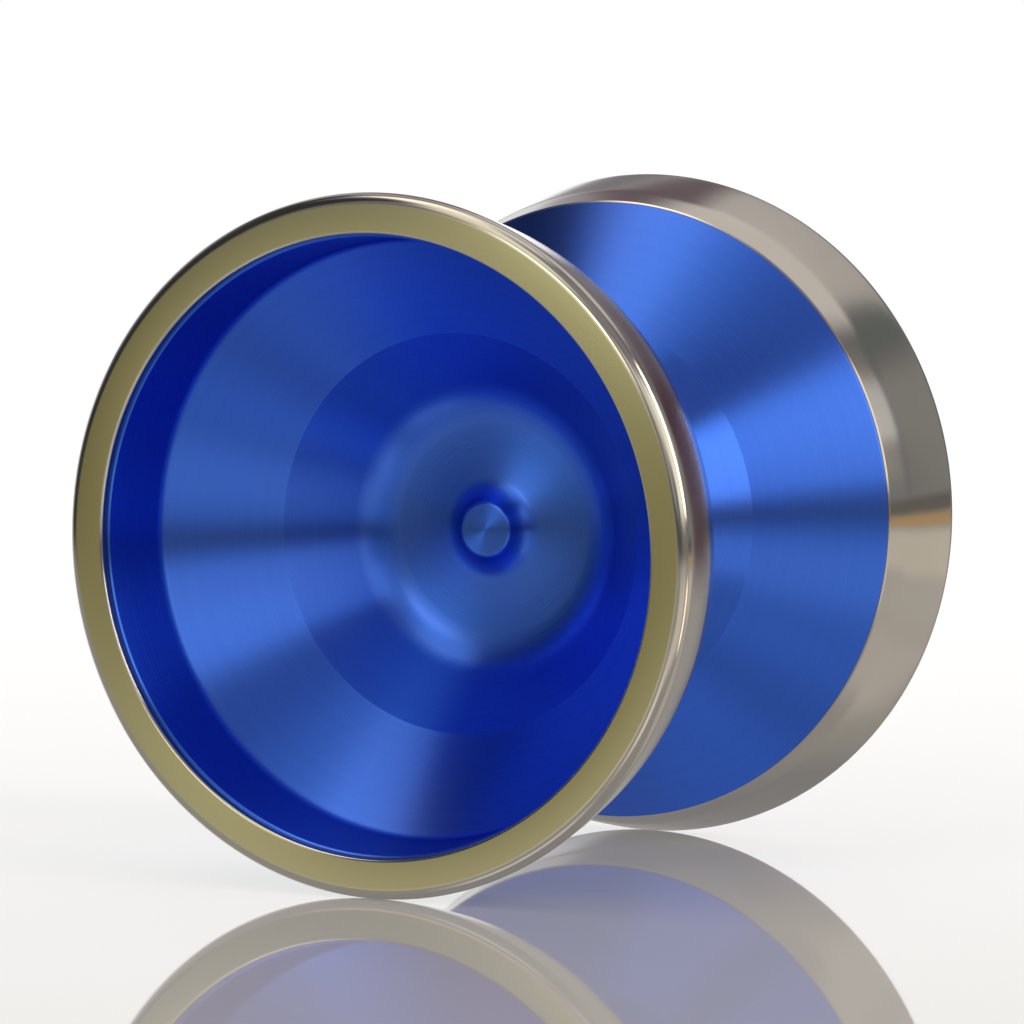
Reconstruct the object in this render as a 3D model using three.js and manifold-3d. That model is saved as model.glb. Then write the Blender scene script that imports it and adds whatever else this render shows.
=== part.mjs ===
// A bimetal yo-yo: two turned aluminium halves, each with a pressed-on steel weight ring,
// screwed together on a threaded axle that carries a sealed ball bearing.
// Millimetres. The spin axis is X, Z is up, and the origin is the middle of the axle.
// A radius is measured from the spin axis, and an axial place from the middle plane.

import * as THREE from 'three';
import Module from 'manifold-3d';

const wasm = await Module();
wasm.setup();

// ---- Driving dimensions ------------------------------------------------------------

// The whole object
const RIM_RADIUS = 27.5;
const HALF_WIDTH = 24.5;

// Weight ring
const RIM_CORNER = 0.95;
const SIDE_BAND_SLOPE = THREE.MathUtils.degToRad(12.4);
const FRONT_BAND_AXIAL = 17.85;
const SEAM_AXIAL = 15.72;
const SEAM_RADIUS = 25.43;
const RING_LIP_RADIUS = 24.3;
const RING_LIP_THICKNESS = 0.75;
const RING_SEAT_RADIUS = 25;
const RING_RELIEF_RADIUS = 25.65;
const RING_RELIEF_START = 18;
const RING_RELIEF_END = 22;
const RING_CHAMFER = 0.2;

// Cup, the hollow on the outer side of each half
const CUP_WALL_RADIUS = 23.7;
const CUP_WALL_DRAFT = 0.4;
const CUP_CORNER_AXIAL = 16.6;
const CUP_CORNER_FILLET = 1.2;
const CUP_STEP_RADIUS = 15.95;
const CUP_STEP_AXIAL = 10.2;
const CUP_FLOOR_RADIUS = 10.53;
const CUP_FLOOR_AXIAL = 4.27;
const CUP_FLOOR_FILLET = 5;
const CUP_DISH_RADIUS = 7;
const CUP_DISH_AXIAL = 4.02;
const CUP_DISH_FILLET = 18;
const CUP_MOUTH_CHAMFER = 0.12;

// Hub nub in the middle of the cup floor
const NUB_TOP_RADIUS = 2.2;
const NUB_BASE_RADIUS = 3.05;
const NUB_TOP_AXIAL = 5.72;
const NUB_BASE_AXIAL = 4.36;
const NUB_FILLET = 2.2;
const NUB_EDGE = 0.4;

// String gap, the V between the halves
const GAP_FACE_AXIAL = 2.1;
const CATCH_RADIUS = 10.1;
const CATCH_FILLET = 0.5;
const GAP_STEP_RADIUS = 16.54;
const GAP_STEP_AXIAL = 9.1;
const SEAM_LAND = 0.16;

// Response pad and its recess
const PAD_INNER_RADIUS = 7.1;
const PAD_OUTER_RADIUS = 9.55;
const PAD_THICKNESS = 1.05;
const PAD_RECESS_DEPTH = 1.1;
const PAD_SETBACK = 0.03;
const PAD_EDGE = 0.15;

// Bearing, inch size: 1/4 bore, 1/2 outside, 3/16 wide, ten 1/16 balls
const BEARING_BORE_RADIUS = 3.175;
const BEARING_OUTER_RADIUS = 6.35;
const BEARING_HALF_WIDTH = 2.381;
const BALL_RADIUS = 0.794;
const BALL_COUNT = 10;
const PITCH_RADIUS = (BEARING_BORE_RADIUS + BEARING_OUTER_RADIUS) / 2;
const GROOVE_RADIUS = 0.83;
const INNER_LAND_RADIUS = 4.25;
const OUTER_LAND_RADIUS = 5.28;
const RACE_CHAMFER = 0.18;
const CAGE_INNER_RADIUS = 4.42;
const CAGE_OUTER_RADIUS = 5.1;
const CAGE_OPEN_END = -0.55;
const CAGE_CLOSED_END = 1.25;
const CAGE_POCKET_RADIUS = 0.86;
const SHIELD_SEAT_AXIAL = 1.74;
const SHIELD_THICKNESS = 0.2;
const SHIELD_INNER_RADIUS = 4.38;
const SHIELD_OUTER_RADIUS = 5.64;
const SHIELD_BORE_RADIUS = 5.68;
const SNAP_GROOVE_RADIUS = 5.85;
const SNAP_GROOVE_AXIAL = 1.98;
const SNAP_GROOVE_WIDTH = 0.2;
const SNAP_INNER_RADIUS = 5.33;
const SNAP_OUTER_RADIUS = 5.81;
const SNAP_THICKNESS = 0.15;
const SNAP_OPENING = THREE.MathUtils.degToRad(28);

// Bearing seat and axle
const SEAT_RADIUS = 3.15;
const SEAT_END_AXIAL = 0.12;
const SEAT_SHOULDER_RADIUS = 3.9;
const SEAT_SHOULDER_CLEARANCE = 0.04;
const POCKET_RADIUS = 6.47;
const POCKET_DEPTH_AXIAL = 2.75;
const THREAD_HOLE_RADIUS = 2.05;
const THREAD_HOLE_END = 5.1;
const AXLE_RADIUS = 2;
const AXLE_HALF_LENGTH = 5;
const AXLE_CHAMFER = 0.35;
const HEX_SOCKET_ACROSS = 2;
const HEX_SOCKET_DEPTH = 2;
const HEX_SIDES = 6;

// Running gap left between faces that touch on the real object
const FACE_GAP = 0.05;

// Facets round a turned piece, and steps round a fillet
const SHELL_SEGMENTS = 48;
const BEARING_SEGMENTS = 32;
const AXLE_SEGMENTS = 24;
const FILLET_STEPS = 3;
const RIM_CORNER_STEPS = 8;
const GROOVE_STEPS = 4;
const SNAP_ARC_SEGMENTS = 16;
const BALL_DETAIL = 2;

// ---- Materials ---------------------------------------------------------------------

const MATERIALS = {
  anodised_blue: metal(0x0c2f9e, 0.3),
  polished_steel: metal(0xb9b4a8, 0.12),
  bearing_steel: metal(0xc6c8ca, 0.18),
  axle_steel: metal(0x6f7276, 0.35),
  cage_steel: metal(0x9c9a94, 0.35),
  silicone: new THREE.MeshStandardMaterial({ color: 0xe9e7e0, roughness: 0.7, metalness: 0 }),
};

function metal(color, roughness) {
  return new THREE.MeshStandardMaterial({ color, roughness, metalness: 1 });
}

// ---- Outlines and turned pieces ----------------------------------------------------

// One corner of a section: its radius, its axial place, and the fillet that rounds it.
function at(radius, axial, fillet = 0) {
  return { point: new THREE.Vector2(radius, axial), fillet };
}

// The points of an arc that rounds one corner, tangent to the lines on both sides of it.
function roundedCorner(before, corner, after, steps) {
  const towardsBefore = before.point.clone().sub(corner.point).normalize();
  const towardsAfter = after.point.clone().sub(corner.point).normalize();
  const halfAngle = Math.acos(towardsBefore.dot(towardsAfter)) / 2;
  const bisector = towardsBefore.clone().add(towardsAfter).normalize();
  const centre = corner.point.clone().addScaledVector(bisector, corner.fillet / Math.sin(halfAngle));
  const reach = corner.fillet / Math.tan(halfAngle);
  const first = corner.point.clone().addScaledVector(towardsBefore, reach).sub(centre);
  const last = corner.point.clone().addScaledVector(towardsAfter, reach).sub(centre);
  const turn = Math.atan2(first.cross(last), first.dot(last));
  const points = [];
  for (let step = 0; step <= steps; step++) {
    const spoke = first.clone().rotateAround(new THREE.Vector2(), (turn * step) / steps);
    points.push(spoke.add(centre));
  }
  return points;
}

// A section with its fillets worked out.
function outline(corners, steps = FILLET_STEPS) {
  return corners.flatMap((corner, index) => {
    if (corner.fillet === 0) {
      return [corner.point.clone()];
    }
    return roundedCorner(corners[index - 1], corner, corners[index + 1], steps);
  });
}

// A section turned about X. Its points run with the material on their left. The facets'
// flats lie on the true radius, and one flat faces straight down.
function turned(points, segments) {
  const flatsScale = 1 / Math.cos(Math.PI / segments);
  const profile = points.map((point) => new THREE.Vector2(point.x * flatsScale, point.y));
  if (profile[0].x > 0) {
    profile.push(profile[0].clone());
  }
  const geometry = new THREE.LatheGeometry(profile, segments, Math.PI / segments, 2 * Math.PI);
  geometry.rotateZ(-Math.PI / 2);
  return geometry;
}

function part(name, geometry, material) {
  const mesh = new THREE.Mesh(geometry, material);
  mesh.name = name;
  return mesh;
}

// ---- Boolean cuts ------------------------------------------------------------------

function toManifold(geometry) {
  const flat = geometry.index ? geometry.toNonIndexed() : geometry;
  const vertProperties = new Float32Array(flat.getAttribute('position').array);
  const triVerts = new Uint32Array(vertProperties.length / 3);
  triVerts.forEach((_, index) => {
    triVerts[index] = index;
  });
  const mesh = new wasm.Mesh({ numProp: 3, vertProperties, triVerts });
  mesh.merge();
  return new wasm.Manifold(mesh);
}

function fromManifold(solid) {
  const mesh = solid.getMesh();
  const geometry = new THREE.BufferGeometry();
  geometry.setAttribute('position', new THREE.BufferAttribute(mesh.vertProperties, 3));
  geometry.setIndex(new THREE.BufferAttribute(mesh.triVerts, 1));
  return geometry.toNonIndexed();
}

function cut(geometry, tools) {
  let solid = toManifold(geometry);
  for (const tool of tools) {
    solid = solid.subtract(toManifold(tool));
  }
  return fromManifold(solid);
}

// ---- One half: shell, weight ring and response pad -----------------------------------

// The shell's gap side: threaded hole, bearing seat, bearing pocket, pad recess and V.
function shellGapSide() {
  const shoulder = BEARING_HALF_WIDTH + SEAT_SHOULDER_CLEARANCE;
  const recessFloor = GAP_FACE_AXIAL + PAD_RECESS_DEPTH;
  return [
    at(0, THREAD_HOLE_END),
    at(THREAD_HOLE_RADIUS, THREAD_HOLE_END),
    at(THREAD_HOLE_RADIUS, SEAT_END_AXIAL),
    at(SEAT_RADIUS - RACE_CHAMFER, SEAT_END_AXIAL),
    at(SEAT_RADIUS, SEAT_END_AXIAL + RACE_CHAMFER),
    at(SEAT_RADIUS, shoulder),
    at(SEAT_SHOULDER_RADIUS, shoulder),
    at(SEAT_SHOULDER_RADIUS, POCKET_DEPTH_AXIAL),
    at(POCKET_RADIUS, POCKET_DEPTH_AXIAL),
    at(POCKET_RADIUS, GAP_FACE_AXIAL),
    at(PAD_INNER_RADIUS - FACE_GAP, GAP_FACE_AXIAL),
    at(PAD_INNER_RADIUS - FACE_GAP, recessFloor),
    at(PAD_OUTER_RADIUS + FACE_GAP, recessFloor),
    at(PAD_OUTER_RADIUS + FACE_GAP, GAP_FACE_AXIAL),
    at(CATCH_RADIUS, GAP_FACE_AXIAL, CATCH_FILLET),
    at(GAP_STEP_RADIUS, GAP_STEP_AXIAL),
    at(SEAM_RADIUS, SEAM_AXIAL),
    at(SEAM_RADIUS, SEAM_AXIAL + SEAM_LAND),
  ];
}

// The shell's ring seat: the shoulder, the land under the ring, and the wall end under its lip.
function shellRingSeat() {
  const wallEnd = HALF_WIDTH - RING_LIP_THICKNESS - FACE_GAP;
  const mouthRadius = CUP_WALL_RADIUS + CUP_WALL_DRAFT;
  return [
    at(RING_SEAT_RADIUS - FACE_GAP, SEAM_AXIAL + SEAM_LAND),
    at(RING_SEAT_RADIUS - FACE_GAP, wallEnd),
    at(mouthRadius + CUP_MOUTH_CHAMFER, wallEnd),
    at(mouthRadius, wallEnd - CUP_MOUTH_CHAMFER),
  ];
}

// The shell's cup side: wall, cone, steeper inner cone, dished floor and nub.
function shellCupSide() {
  return [
    at(CUP_WALL_RADIUS, CUP_CORNER_AXIAL, CUP_CORNER_FILLET),
    at(CUP_STEP_RADIUS, CUP_STEP_AXIAL),
    at(CUP_FLOOR_RADIUS, CUP_FLOOR_AXIAL, CUP_FLOOR_FILLET),
    at(CUP_DISH_RADIUS, CUP_DISH_AXIAL, CUP_DISH_FILLET),
    at(NUB_BASE_RADIUS, NUB_BASE_AXIAL, NUB_FILLET),
    at(NUB_TOP_RADIUS, NUB_TOP_AXIAL, NUB_EDGE),
    at(0, NUB_TOP_AXIAL),
  ];
}

function shellGeometry() {
  return turned(outline([...shellGapSide(), ...shellRingSeat(), ...shellCupSide()]), SHELL_SEGMENTS);
}

// The ring's section: seat lands and relief on the inside, the bands and the flat face outside.
function ringGeometry() {
  const front = SEAM_AXIAL + SEAM_LAND + FACE_GAP;
  const lipBack = HALF_WIDTH - RING_LIP_THICKNESS;
  const slope = Math.tan(SIDE_BAND_SLOPE);
  const tangentRadius = RIM_RADIUS - RIM_CORNER * (1 - Math.cos(SIDE_BAND_SLOPE));
  const tangentAxial = HALF_WIDTH - RIM_CORNER * (1 + Math.sin(SIDE_BAND_SLOPE));
  const cornerRadius = tangentRadius + (HALF_WIDTH - tangentAxial) * slope;
  const frontBandRadius = tangentRadius - (tangentAxial - FRONT_BAND_AXIAL) * slope;
  const section = [
    at(RING_SEAT_RADIUS, front),
    at(SEAM_RADIUS, front),
    at(SEAM_RADIUS + RING_CHAMFER, front + RING_CHAMFER),
    at(frontBandRadius, FRONT_BAND_AXIAL),
    at(cornerRadius, HALF_WIDTH, RIM_CORNER),
    at(RING_LIP_RADIUS + RING_CHAMFER, HALF_WIDTH),
    at(RING_LIP_RADIUS, HALF_WIDTH - RING_CHAMFER),
    at(RING_LIP_RADIUS, lipBack),
    at(RING_SEAT_RADIUS, lipBack),
    at(RING_SEAT_RADIUS, RING_RELIEF_END),
    at(RING_RELIEF_RADIUS, RING_RELIEF_END),
    at(RING_RELIEF_RADIUS, RING_RELIEF_START),
    at(RING_SEAT_RADIUS, RING_RELIEF_START),
  ];
  return turned(outline(section, RIM_CORNER_STEPS), SHELL_SEGMENTS);
}

function padGeometry() {
  const front = GAP_FACE_AXIAL + PAD_SETBACK;
  const back = front + PAD_THICKNESS;
  const section = [
    at(PAD_INNER_RADIUS + PAD_EDGE, front),
    at(PAD_OUTER_RADIUS - PAD_EDGE, front),
    at(PAD_OUTER_RADIUS, front + PAD_EDGE),
    at(PAD_OUTER_RADIUS, back),
    at(PAD_INNER_RADIUS, back),
    at(PAD_INNER_RADIUS, front + PAD_EDGE),
  ];
  return turned(outline(section), SHELL_SEGMENTS);
}

// Both halves are the same pieces; the left one is turned half round about Z.
function half(side, turnAboutZ) {
  const group = new THREE.Group();
  group.rotation.z = turnAboutZ;
  group.add(part(`${side}_shell`, shellGeometry(), MATERIALS.anodised_blue));
  group.add(part(`${side}_weight_ring`, ringGeometry(), MATERIALS.polished_steel));
  group.add(part(`${side}_response_pad`, padGeometry(), MATERIALS.silicone));
  return group;
}

// ---- Axle ----------------------------------------------------------------------------

// A headless set screw: plain rod at the thread's outside size, hex socket in its left end.
function axleGeometry() {
  const section = [
    at(0, -AXLE_HALF_LENGTH),
    at(AXLE_RADIUS - AXLE_CHAMFER, -AXLE_HALF_LENGTH),
    at(AXLE_RADIUS, AXLE_CHAMFER - AXLE_HALF_LENGTH),
    at(AXLE_RADIUS, AXLE_HALF_LENGTH - AXLE_CHAMFER),
    at(AXLE_RADIUS - AXLE_CHAMFER, AXLE_HALF_LENGTH),
    at(0, AXLE_HALF_LENGTH),
  ];
  const rod = turned(outline(section), AXLE_SEGMENTS);
  const socketRadius = HEX_SOCKET_ACROSS / Math.sqrt(3);
  const socket = new THREE.CylinderGeometry(socketRadius, socketRadius, 2 * HEX_SOCKET_DEPTH, HEX_SIDES);
  socket.rotateZ(-Math.PI / 2);
  socket.translate(-AXLE_HALF_LENGTH, 0, 0);
  return cut(rod, [socket]);
}

// ---- Bearing -------------------------------------------------------------------------

// The ball groove's arc in a race, from its low axial end to its high one.
// towardsAxis is 1 in the inner race, whose groove faces away from the axis, and -1 in the outer.
function grooveArc(landRadius, towardsAxis) {
  const halfTurn = Math.acos((towardsAxis * (PITCH_RADIUS - landRadius)) / GROOVE_RADIUS);
  const points = [];
  for (let step = 0; step <= GROOVE_STEPS; step++) {
    const turn = THREE.MathUtils.lerp(-halfTurn, halfTurn, step / GROOVE_STEPS);
    const radius = PITCH_RADIUS - towardsAxis * GROOVE_RADIUS * Math.cos(turn);
    points.push(at(radius, GROOVE_RADIUS * Math.sin(turn)));
  }
  return points;
}

function innerRaceGeometry() {
  const face = BEARING_HALF_WIDTH;
  const shoulder = BEARING_HALF_WIDTH - RACE_CHAMFER;
  const section = [
    at(BEARING_BORE_RADIUS, -shoulder),
    at(BEARING_BORE_RADIUS + RACE_CHAMFER, -face),
    at(INNER_LAND_RADIUS - RACE_CHAMFER, -face),
    at(INNER_LAND_RADIUS, -shoulder),
    ...grooveArc(INNER_LAND_RADIUS, 1),
    at(INNER_LAND_RADIUS, shoulder),
    at(INNER_LAND_RADIUS - RACE_CHAMFER, face),
    at(BEARING_BORE_RADIUS + RACE_CHAMFER, face),
    at(BEARING_BORE_RADIUS, shoulder),
  ];
  return turned(outline(section), BEARING_SEGMENTS);
}

// The outer race's bore beside the groove: shield seat, then the snap ring's groove.
function shieldBore() {
  const snapGrooveEnd = SNAP_GROOVE_AXIAL + SNAP_GROOVE_WIDTH;
  return [
    at(SHIELD_BORE_RADIUS, BEARING_HALF_WIDTH),
    at(SHIELD_BORE_RADIUS, snapGrooveEnd),
    at(SNAP_GROOVE_RADIUS, snapGrooveEnd),
    at(SNAP_GROOVE_RADIUS, SNAP_GROOVE_AXIAL),
    at(SHIELD_BORE_RADIUS, SNAP_GROOVE_AXIAL),
    at(SHIELD_BORE_RADIUS, SHIELD_SEAT_AXIAL),
    at(OUTER_LAND_RADIUS, SHIELD_SEAT_AXIAL),
  ];
}

function mirrored(corners) {
  return corners.map((corner) => at(corner.point.x, -corner.point.y)).reverse();
}

function outerRaceGeometry() {
  const shoulder = BEARING_HALF_WIDTH - RACE_CHAMFER;
  const section = [
    at(BEARING_OUTER_RADIUS - RACE_CHAMFER, -BEARING_HALF_WIDTH),
    at(BEARING_OUTER_RADIUS, -shoulder),
    at(BEARING_OUTER_RADIUS, shoulder),
    at(BEARING_OUTER_RADIUS - RACE_CHAMFER, BEARING_HALF_WIDTH),
    ...shieldBore(),
    ...grooveArc(OUTER_LAND_RADIUS, -1).reverse(),
    ...mirrored(shieldBore()),
  ];
  return turned(outline(section), BEARING_SEGMENTS);
}

function ballPlaces() {
  const places = [];
  for (let index = 0; index < BALL_COUNT; index++) {
    const turn = (2 * Math.PI * index) / BALL_COUNT;
    places.push(new THREE.Vector3(0, PITCH_RADIUS * Math.cos(turn), PITCH_RADIUS * Math.sin(turn)));
  }
  return places;
}

// A crown cage: a ring closed at one end, with a pocket for each ball open at the other.
function cageGeometry() {
  const section = [
    at(CAGE_INNER_RADIUS, CAGE_OPEN_END),
    at(CAGE_OUTER_RADIUS, CAGE_OPEN_END),
    at(CAGE_OUTER_RADIUS, CAGE_CLOSED_END),
    at(CAGE_INNER_RADIUS, CAGE_CLOSED_END),
  ];
  const pockets = ballPlaces().map((place) => {
    const pocket = new THREE.IcosahedronGeometry(CAGE_POCKET_RADIUS, BALL_DETAIL);
    return pocket.translate(place.x, place.y, place.z);
  });
  return cut(turned(outline(section), BEARING_SEGMENTS), pockets);
}

function balls() {
  return ballPlaces().map((place, index) => {
    const number = String(index + 1).padStart(2, '0');
    const geometry = new THREE.IcosahedronGeometry(BALL_RADIUS, BALL_DETAIL);
    const ball = part(`bearing_ball_${number}`, geometry, MATERIALS.bearing_steel);
    ball.position.copy(place);
    return ball;
  });
}

function shieldGeometry() {
  const inner = SHIELD_SEAT_AXIAL + FACE_GAP / 2;
  const section = [
    at(SHIELD_INNER_RADIUS, inner),
    at(SHIELD_OUTER_RADIUS, inner),
    at(SHIELD_OUTER_RADIUS, inner + SHIELD_THICKNESS - FACE_GAP / 2),
    at(SHIELD_INNER_RADIUS, inner + SHIELD_THICKNESS - FACE_GAP / 2),
  ];
  return turned(outline(section), BEARING_SEGMENTS);
}

// The split ring that holds a shield: an open C bent from flat wire.
function snapRingGeometry() {
  const shape = new THREE.Shape();
  const from = SNAP_OPENING / 2;
  const to = 2 * Math.PI - SNAP_OPENING / 2;
  shape.absarc(0, 0, SNAP_OUTER_RADIUS, from, to, false);
  shape.absarc(0, 0, SNAP_INNER_RADIUS, to, from, true);
  const geometry = new THREE.ExtrudeGeometry(shape, {
    depth: SNAP_THICKNESS,
    bevelEnabled: false,
    curveSegments: SNAP_ARC_SEGMENTS,
  });
  geometry.translate(0, 0, SNAP_GROOVE_AXIAL + (SNAP_GROOVE_WIDTH - SNAP_THICKNESS) / 2);
  geometry.rotateY(Math.PI / 2);
  return geometry;
}

// One side of the bearing: its shield and the snap ring outside it.
function bearingCover(side, turnAboutZ) {
  const group = new THREE.Group();
  group.rotation.z = turnAboutZ;
  group.add(part(`bearing_shield_${side}`, shieldGeometry(), MATERIALS.bearing_steel));
  group.add(part(`bearing_snap_ring_${side}`, snapRingGeometry(), MATERIALS.bearing_steel));
  return group;
}

function bearing() {
  const group = new THREE.Group();
  group.add(part('bearing_inner_race', innerRaceGeometry(), MATERIALS.bearing_steel));
  group.add(part('bearing_outer_race', outerRaceGeometry(), MATERIALS.bearing_steel));
  group.add(part('bearing_cage', cageGeometry(), MATERIALS.cage_steel));
  group.add(...balls());
  group.add(bearingCover('left', Math.PI));
  group.add(bearingCover('right', 0));
  return group;
}

// ---- The whole yo-yo -----------------------------------------------------------------

const yoyo = new THREE.Group();
yoyo.add(half('left', Math.PI));
yoyo.add(half('right', 0));
yoyo.add(part('axle', axleGeometry(), MATERIALS.axle_steel));
yoyo.add(bearing());

export default yoyo;
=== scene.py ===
"""Looks of a bimetal yo-yo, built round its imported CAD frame.

Every piece but the balls, the cage and the axle is turned about the X axis from a section in
millimetres. The sections have the CAD part's corners with finer fillets, and the weight ring's
band has a slight crown as well. The world is a studio of soft panels, because polished and
turned metal shows little else than what stands round it.
"""

import math

import bmesh
import bpy
from mathutils import Matrix, Vector


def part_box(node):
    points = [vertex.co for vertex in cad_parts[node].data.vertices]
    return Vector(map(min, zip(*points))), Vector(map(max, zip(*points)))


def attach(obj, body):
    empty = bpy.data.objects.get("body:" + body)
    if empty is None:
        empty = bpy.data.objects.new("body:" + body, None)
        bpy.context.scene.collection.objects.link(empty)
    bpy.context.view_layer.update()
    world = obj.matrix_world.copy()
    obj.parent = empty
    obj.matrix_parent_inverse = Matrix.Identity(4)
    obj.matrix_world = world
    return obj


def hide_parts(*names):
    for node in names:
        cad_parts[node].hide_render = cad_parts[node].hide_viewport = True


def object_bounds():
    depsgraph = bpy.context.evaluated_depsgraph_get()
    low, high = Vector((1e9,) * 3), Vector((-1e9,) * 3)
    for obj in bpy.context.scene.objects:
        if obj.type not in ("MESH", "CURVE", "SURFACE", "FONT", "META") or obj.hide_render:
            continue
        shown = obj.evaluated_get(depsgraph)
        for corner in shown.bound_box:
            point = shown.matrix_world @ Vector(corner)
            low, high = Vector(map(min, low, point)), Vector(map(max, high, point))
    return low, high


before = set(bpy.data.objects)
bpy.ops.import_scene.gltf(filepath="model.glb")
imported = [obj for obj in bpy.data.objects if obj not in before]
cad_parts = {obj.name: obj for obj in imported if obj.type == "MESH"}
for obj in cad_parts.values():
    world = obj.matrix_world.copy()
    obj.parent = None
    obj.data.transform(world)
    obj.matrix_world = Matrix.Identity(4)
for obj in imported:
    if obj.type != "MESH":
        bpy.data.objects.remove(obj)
CAD_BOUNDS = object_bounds()

MM = 0.001
TURN = 2 * math.pi

# ---- Sizes read from the frame -------------------------------------------------------

RING_LOW, RING_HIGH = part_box("right_weight_ring")
SHELL_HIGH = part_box("right_shell")[1]
AXLE_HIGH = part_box("axle")[1]
RIM_RADIUS = RING_HIGH.z / MM
HALF_WIDTH = RING_HIGH.x / MM
RING_FRONT = RING_LOW.x / MM
SEAM_RADIUS = SHELL_HIGH.z / MM
AXLE_HALF_LENGTH = AXLE_HIGH.x / MM

# ---- Section dimensions, in millimetres ----------------------------------------------

RIM_CORNER = 0.95
# The ring's side band is crowned: it falls away faster towards the string
OUTER_BAND_SLOPE = math.radians(10.9)
INNER_BAND_SLOPE = math.radians(13.9)
FRONT_BAND_AXIAL = 17.85
BAND_FILLET = 75.0
FRONT_BAND_FILLET = 7.0
SEAM_AXIAL = 15.72
SEAM_LAND = 0.16
RING_LIP_RADIUS = 24.3
RING_LIP_THICKNESS = 0.75
RING_SEAT_RADIUS = 25.0
RING_LIP_FILLET = 0.25
EDGE_BREAK = 0.12

CUP_WALL_RADIUS = 23.7
CUP_WALL_DRAFT = 0.4
CUP_CORNER_AXIAL = 16.6
CUP_CORNER_FILLET = 1.2
CUP_STEP_RADIUS = 15.95
CUP_STEP_AXIAL = 10.2
CUP_FLOOR_RADIUS = 10.53
CUP_FLOOR_AXIAL = 4.27
CUP_FLOOR_FILLET = 5.0
CUP_DISH_RADIUS = 7.0
CUP_DISH_AXIAL = 4.02
CUP_DISH_FILLET = 18.0
CUP_MOUTH_CHAMFER = 0.12

NUB_TOP_RADIUS = 2.2
NUB_BASE_RADIUS = 3.05
NUB_TOP_AXIAL = 5.72
NUB_BASE_AXIAL = 4.36
NUB_FILLET = 2.2
NUB_EDGE = 0.4

GAP_FACE_AXIAL = 2.1
CATCH_RADIUS = 10.1
CATCH_FILLET = 0.5
GAP_STEP_RADIUS = 16.54
GAP_STEP_AXIAL = 9.1
FACE_GAP = 0.05

PAD_INNER_RADIUS = 7.1
PAD_OUTER_RADIUS = 9.55
PAD_THICKNESS = 1.05
PAD_RECESS_DEPTH = 1.1
PAD_SETBACK = 0.03
PAD_EDGE = 0.15

BEARING_BORE_RADIUS = 3.175
BEARING_OUTER_RADIUS = 6.35
BEARING_HALF_WIDTH = 2.381
PITCH_RADIUS = (BEARING_BORE_RADIUS + BEARING_OUTER_RADIUS) / 2
GROOVE_RADIUS = 0.83
INNER_LAND_RADIUS = 4.25
OUTER_LAND_RADIUS = 5.28
RACE_CHAMFER = 0.18
SHIELD_SEAT_AXIAL = 1.74
SHIELD_THICKNESS = 0.2
SHIELD_INNER_RADIUS = 4.38
SHIELD_OUTER_RADIUS = 5.64
SHIELD_BORE_RADIUS = 5.68
SNAP_GROOVE_RADIUS = 5.85
SNAP_GROOVE_AXIAL = 1.98
SNAP_GROOVE_WIDTH = 0.2
SNAP_INNER_RADIUS = 5.33
SNAP_OUTER_RADIUS = 5.81
SNAP_THICKNESS = 0.15
SNAP_OPENING = math.radians(28)

SEAT_RADIUS = 3.15
SEAT_END_AXIAL = 0.12
SEAT_SHOULDER_RADIUS = 3.9
SEAT_SHOULDER_CLEARANCE = 0.04
POCKET_RADIUS = 6.47
POCKET_DEPTH_AXIAL = 2.75
THREAD_HOLE_RADIUS = 2.05
THREAD_HOLE_END = 5.1
AXLE_RADIUS = 1.98
THREAD_PITCH = 0.7
THREAD_DEPTH = 0.38
THREAD_SLOPE = 2.3
THREAD_CREST = 0.15
AXLE_CHAMFER = 0.35
HEX_SOCKET_RADIUS = 1.155
HEX_SOCKET_DEPTH = 2.0

RACE_EDGE = 0.05
BALL_COUNT = 10

# ---- Mesh fineness -------------------------------------------------------------------

RIM_SEGMENTS = 360
BEARING_SEGMENTS = 160
AXLE_SEGMENTS = 72
ROWS_PER_THREAD = 16
GROOVE_STEPS = 20
BALL_SUBDIVISIONS = 4
# The angle that one step of a fillet covers, and the angle from which an edge looks sharp
FILLET_STEP = math.radians(6)
SHARP_ANGLE = math.radians(7.2)
ON_AXIS = 1e-9

# ---- Material constants --------------------------------------------------------------

# How much of a point's axial place counts, beside its radius, in the pattern of turning marks
AXIAL_SHARE = 0.62
# How much of the anodising's tone comes from its bands, and the rest from its blotches
BAND_SHARE = 0.6
# Turns the stretched reflections from along the turning marks to across them
BRUSHING_ROTATION = 0.25
# The rim's flat face is turned, not polished. Its look comes in between these depths behind it,
# in millimetres.
FACE_BLEND_START = 0.012
FACE_BLEND_END = 0.004
# The colour sockets of a Mix node, whose names repeat for each type of data
MIX_FIRST, MIX_SECOND, MIX_RESULT = 6, 7, 2

# ---- Camera and floor ----------------------------------------------------------------

VIEW_AZIMUTH = -61.9
VIEW_ELEVATION = 4.86
VIEW_DISTANCE_IN_RADII = 20.09
VIEW_SHIFT = (-0.0064, 0.0121)
LENS_MM = 241.1
CLIP_START = 0.01
CLIP_END = 100
FLOOR_HALF_SIZE = 0.4
FLOOR_HEIGHT = CAD_BOUNDS[0][2]


# ---- Sections --------------------------------------------------------------------------

def at(radius, axial, fillet=0.0):
    """One corner of a section, in millimetres, and the fillet that rounds it."""
    return Vector((radius, axial)), fillet


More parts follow.
